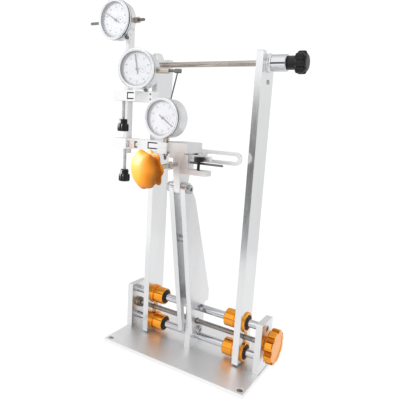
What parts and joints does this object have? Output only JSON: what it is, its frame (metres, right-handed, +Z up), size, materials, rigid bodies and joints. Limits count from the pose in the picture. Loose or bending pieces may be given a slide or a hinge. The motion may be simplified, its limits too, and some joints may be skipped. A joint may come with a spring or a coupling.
{
  "type": "bicycle wheel truing stand",
  "caption": "Aluminium wheel truing stand: sliding uprights with a through axle on a screw-driven base, a swinging feeler arm and dial gauges that read rim runout.",
  "frame": {"origin": "centre of the base plate's underside", "axes": "+X along the guide rods towards the lead screw's knob, -Y towards the feeler arm and the user, +Z up"},
  "size_m": [0.3093, 0.2152, 0.5225],
  "materials": {
    "brushed_aluminium": "brushed",
    "polished_steel": "polished",
    "steel": "satin",
    "bronze": "turned",
    "orange_anodised": "anodised gloss",
    "rubber": "matt",
    "black_plastic": "fine grain",
    "dial_metal": "satin",
    "dial_white": "printed matt",
    "dial_glass": "clear",
    "needle_black": "matt"
  },
  "bodies": {
    "base": {"base_plate": "brushed_aluminium", "end_plate_left": "brushed_aluminium", "end_plate_right": "brushed_aluminium", "plate_screws": "steel", "guide_rods": "polished_steel", "rod_screws": "steel", "centre_block": "brushed_aluminium", "screw_bearings": "bronze"},
    "lead_screw_body": {"lead_screw": "steel", "lead_screw_knob": "orange_anodised", "screw_collar": "steel"},
    "right_upright": {"upright_right": "brushed_aluminium", "bush_housings_right": "orange_anodised", "rod_wipers_right": "rubber", "lead_nut_right": "bronze", "clamp_flange": "brushed_aluminium", "clamp_sleeve": "polished_steel"},
    "left_upright": {"upright_left": "brushed_aluminium", "bush_housings_left": "orange_anodised", "rod_wipers_left": "rubber", "lead_nut_left": "bronze"},
    "axle": {"thru_axle": "polished_steel"},
    "axle_knob_body": {"axle_knob": "black_plastic"},
    "arm": {"arm_plate_left": "brushed_aluminium", "arm_plate_right": "brushed_aluminium", "arm_spacer": "steel", "arm_bolts": "steel", "arm_nuts": "steel"},
    "head": {"head_block": "brushed_aluminium", "head_box": "brushed_aluminium", "dial_bar": "brushed_aluminium", "feeler_clamp": "brushed_aluminium", "link_pin": "steel", "dial_case_low": "dial_metal"},
    "star_knob_body": {"head_stud": "steel", "star_knob": "orange_anodised"},
    "post_body": {"post": "brushed_aluminium", "dial_case_top": "dial_metal"},
    "upper_bar_body": {"upper_bar": "brushed_aluminium", "dial_case_mid": "dial_metal"},
    "post_thumbscrew": {"thumbscrew_post": "black_plastic"},
    "bar_thumbscrew": {"thumbscrew_bar": "black_plastic"},
    "feeler_thumbscrew": {"thumbscrew_feeler": "black_plastic"},
    "feeler_rod_body": {"feeler_rod": "steel"},
    "feeler_link_body": {"feeler_link": "brushed_aluminium"},
    "bezel_top": {"dial_bezel_top": "dial_metal", "dial_face_top": "dial_white", "dial_glass_top": "dial_glass"},
    "bezel_mid": {"dial_bezel_mid": "dial_metal", "dial_face_mid": "dial_white", "dial_glass_mid": "dial_glass"},
    "bezel_low": {"dial_bezel_low": "dial_metal", "dial_face_low": "dial_white", "dial_glass_low": "dial_glass"},
    "needle_top": {"dial_needle_top": "needle_black"},
    "needle_mid": {"dial_needle_mid": "needle_black"},
    "needle_low": {"dial_needle_low": "needle_black"},
    "plunger_top": {"dial_plunger_top": "polished_steel"},
    "plunger_mid": {"dial_plunger_mid": "polished_steel"},
    "plunger_low": {"dial_plunger_low": "polished_steel"}
  },
  "joints": [
    {"name": "lead_screw_turn", "type": "hinge", "parent": "base", "child": "lead_screw_body", "pos_m": [0, 0, 0.047], "axis": [1, 0, 0], "range_deg": [-5410, 2530]},
    {"name": "right_upright_slide", "type": "slide", "parent": "base", "child": "right_upright", "axis": [1, 0, 0], "range_m": [-0.03, 0.014]},
    {"name": "left_upright_slide", "type": "slide", "parent": "base", "child": "left_upright", "axis": [1, 0, 0], "range_m": [-0.0145, 0.0305]},
    {"name": "axle_draw", "type": "slide", "parent": "right_upright", "child": "axle", "axis": [1, 0, 0], "range_m": [0, 0.15]},
    {"name": "axle_knob_turn", "type": "hinge", "parent": "axle", "child": "axle_knob_body", "pos_m": [0.13, 0, 0.4455], "axis": [1, 0, 0], "continuous": true},
    {"name": "arm_swing", "type": "hinge", "parent": "base", "child": "arm", "pos_m": [0, -0.012, 0.04], "axis": [1, 0, 0], "range_deg": [0, 50]},
    {"name": "head_tilt", "type": "hinge", "parent": "arm", "child": "head", "pos_m": [0, -0.0627, 0.27], "axis": [1, 0, 0], "range_deg": [-6, 20]},
    {"name": "star_knob_turn", "type": "hinge", "parent": "head", "child": "star_knob_body", "pos_m": [-0.00075, -0.0767, 0.3035], "axis": [-0.3395, -0.9327, -0.1219], "continuous": true},
    {"name": "post_slide", "type": "slide", "parent": "head", "child": "post_body", "axis": [0, 0, 1], "range_m": [-0.002, 0.02]},
    {"name": "upper_bar_slide", "type": "slide", "parent": "post_body", "child": "upper_bar_body", "axis": [0, 0, 1], "range_m": [-0.003, 0.015]},
    {"name": "post_thumbscrew_turn", "type": "hinge", "parent": "head", "child": "post_thumbscrew", "pos_m": [-0.1, -0.066, 0.29], "axis": [0, 0, 1], "continuous": true},
    {"name": "bar_thumbscrew_turn", "type": "hinge", "parent": "upper_bar_body", "child": "bar_thumbscrew", "pos_m": [-0.105, -0.066, 0.37], "axis": [0, 0, 1], "continuous": true},
    {"name": "feeler_thumbscrew_turn", "type": "hinge", "parent": "head", "child": "feeler_thumbscrew", "pos_m": [0.0332, -0.0725, 0.308], "axis": [0, 0, 1], "continuous": true},
    {"name": "feeler_rod_slide", "type": "slide", "parent": "head", "child": "feeler_rod_body", "axis": [1, 0, 0], "range_m": [-0.0035, 0.006]},
    {"name": "feeler_link_swing", "type": "hinge", "parent": "head", "child": "feeler_link_body", "pos_m": [0.012, -0.038, 0.316], "axis": [0, -1, 0], "range_deg": [-20, 20]},
    {"name": "bezel_top_turn", "type": "hinge", "parent": "post_body", "child": "bezel_top", "pos_m": [-0.11, -0.072, 0.495], "axis": [0, -1, 0], "continuous": true},
    {"name": "bezel_mid_turn", "type": "hinge", "parent": "upper_bar_body", "child": "bezel_mid", "pos_m": [-0.07308, -0.07035, 0.429], "axis": [0.2588, -0.9659, 0], "continuous": true},
    {"name": "bezel_low_turn", "type": "hinge", "parent": "head", "child": "bezel_low", "pos_m": [-0.0205, -0.074, 0.3645], "axis": [0, -1, 0], "continuous": true},
    {"name": "needle_top_turn", "type": "hinge", "parent": "post_body", "child": "needle_top", "pos_m": [-0.11, -0.072, 0.495], "axis": [0, 1, 0], "range_deg": [-10, 2530]},
    {"name": "needle_mid_turn", "type": "hinge", "parent": "upper_bar_body", "child": "needle_mid", "pos_m": [-0.07308, -0.07035, 0.429], "axis": [-0.2588, 0.9659, 0], "range_deg": [-10, 2530]},
    {"name": "needle_low_turn", "type": "hinge", "parent": "head", "child": "needle_low", "pos_m": [-0.0205, -0.074, 0.3645], "axis": [0, 1, 0], "range_deg": [-10, 1810]},
    {"name": "plunger_top_slide", "type": "slide", "parent": "post_body", "child": "plunger_top", "axis": [-1, 0, 0], "range_m": [0, 0.007], "stiffness_N_per_m": 80, "springref_m": -0.003},
    {"name": "plunger_mid_slide", "type": "slide", "parent": "upper_bar_body", "child": "plunger_mid", "axis": [-0.9659, -0.2588, 0], "range_m": [0, 0.007], "stiffness_N_per_m": 80, "springref_m": -0.003},
    {"name": "plunger_low_slide", "type": "slide", "parent": "head", "child": "plunger_low", "axis": [0, 0, 1], "range_m": [0, 0.005], "stiffness_N_per_m": 80, "springref_m": -0.003}
  ],
  "couplings": [
    {"joint": "left_upright_slide", "follows": "right_upright_slide", "ratio": -1},
    {"joint": "lead_screw_turn", "follows": "right_upright_slide", "rad_per_m": 3141.6},
    {"joint": "needle_top_turn", "follows": "plunger_top_slide", "rad_per_m": 6283.2},
    {"joint": "needle_mid_turn", "follows": "plunger_mid_slide", "rad_per_m": 6283.2},
    {"joint": "needle_low_turn", "follows": "plunger_low_slide", "rad_per_m": 6283.2}
  ]
}
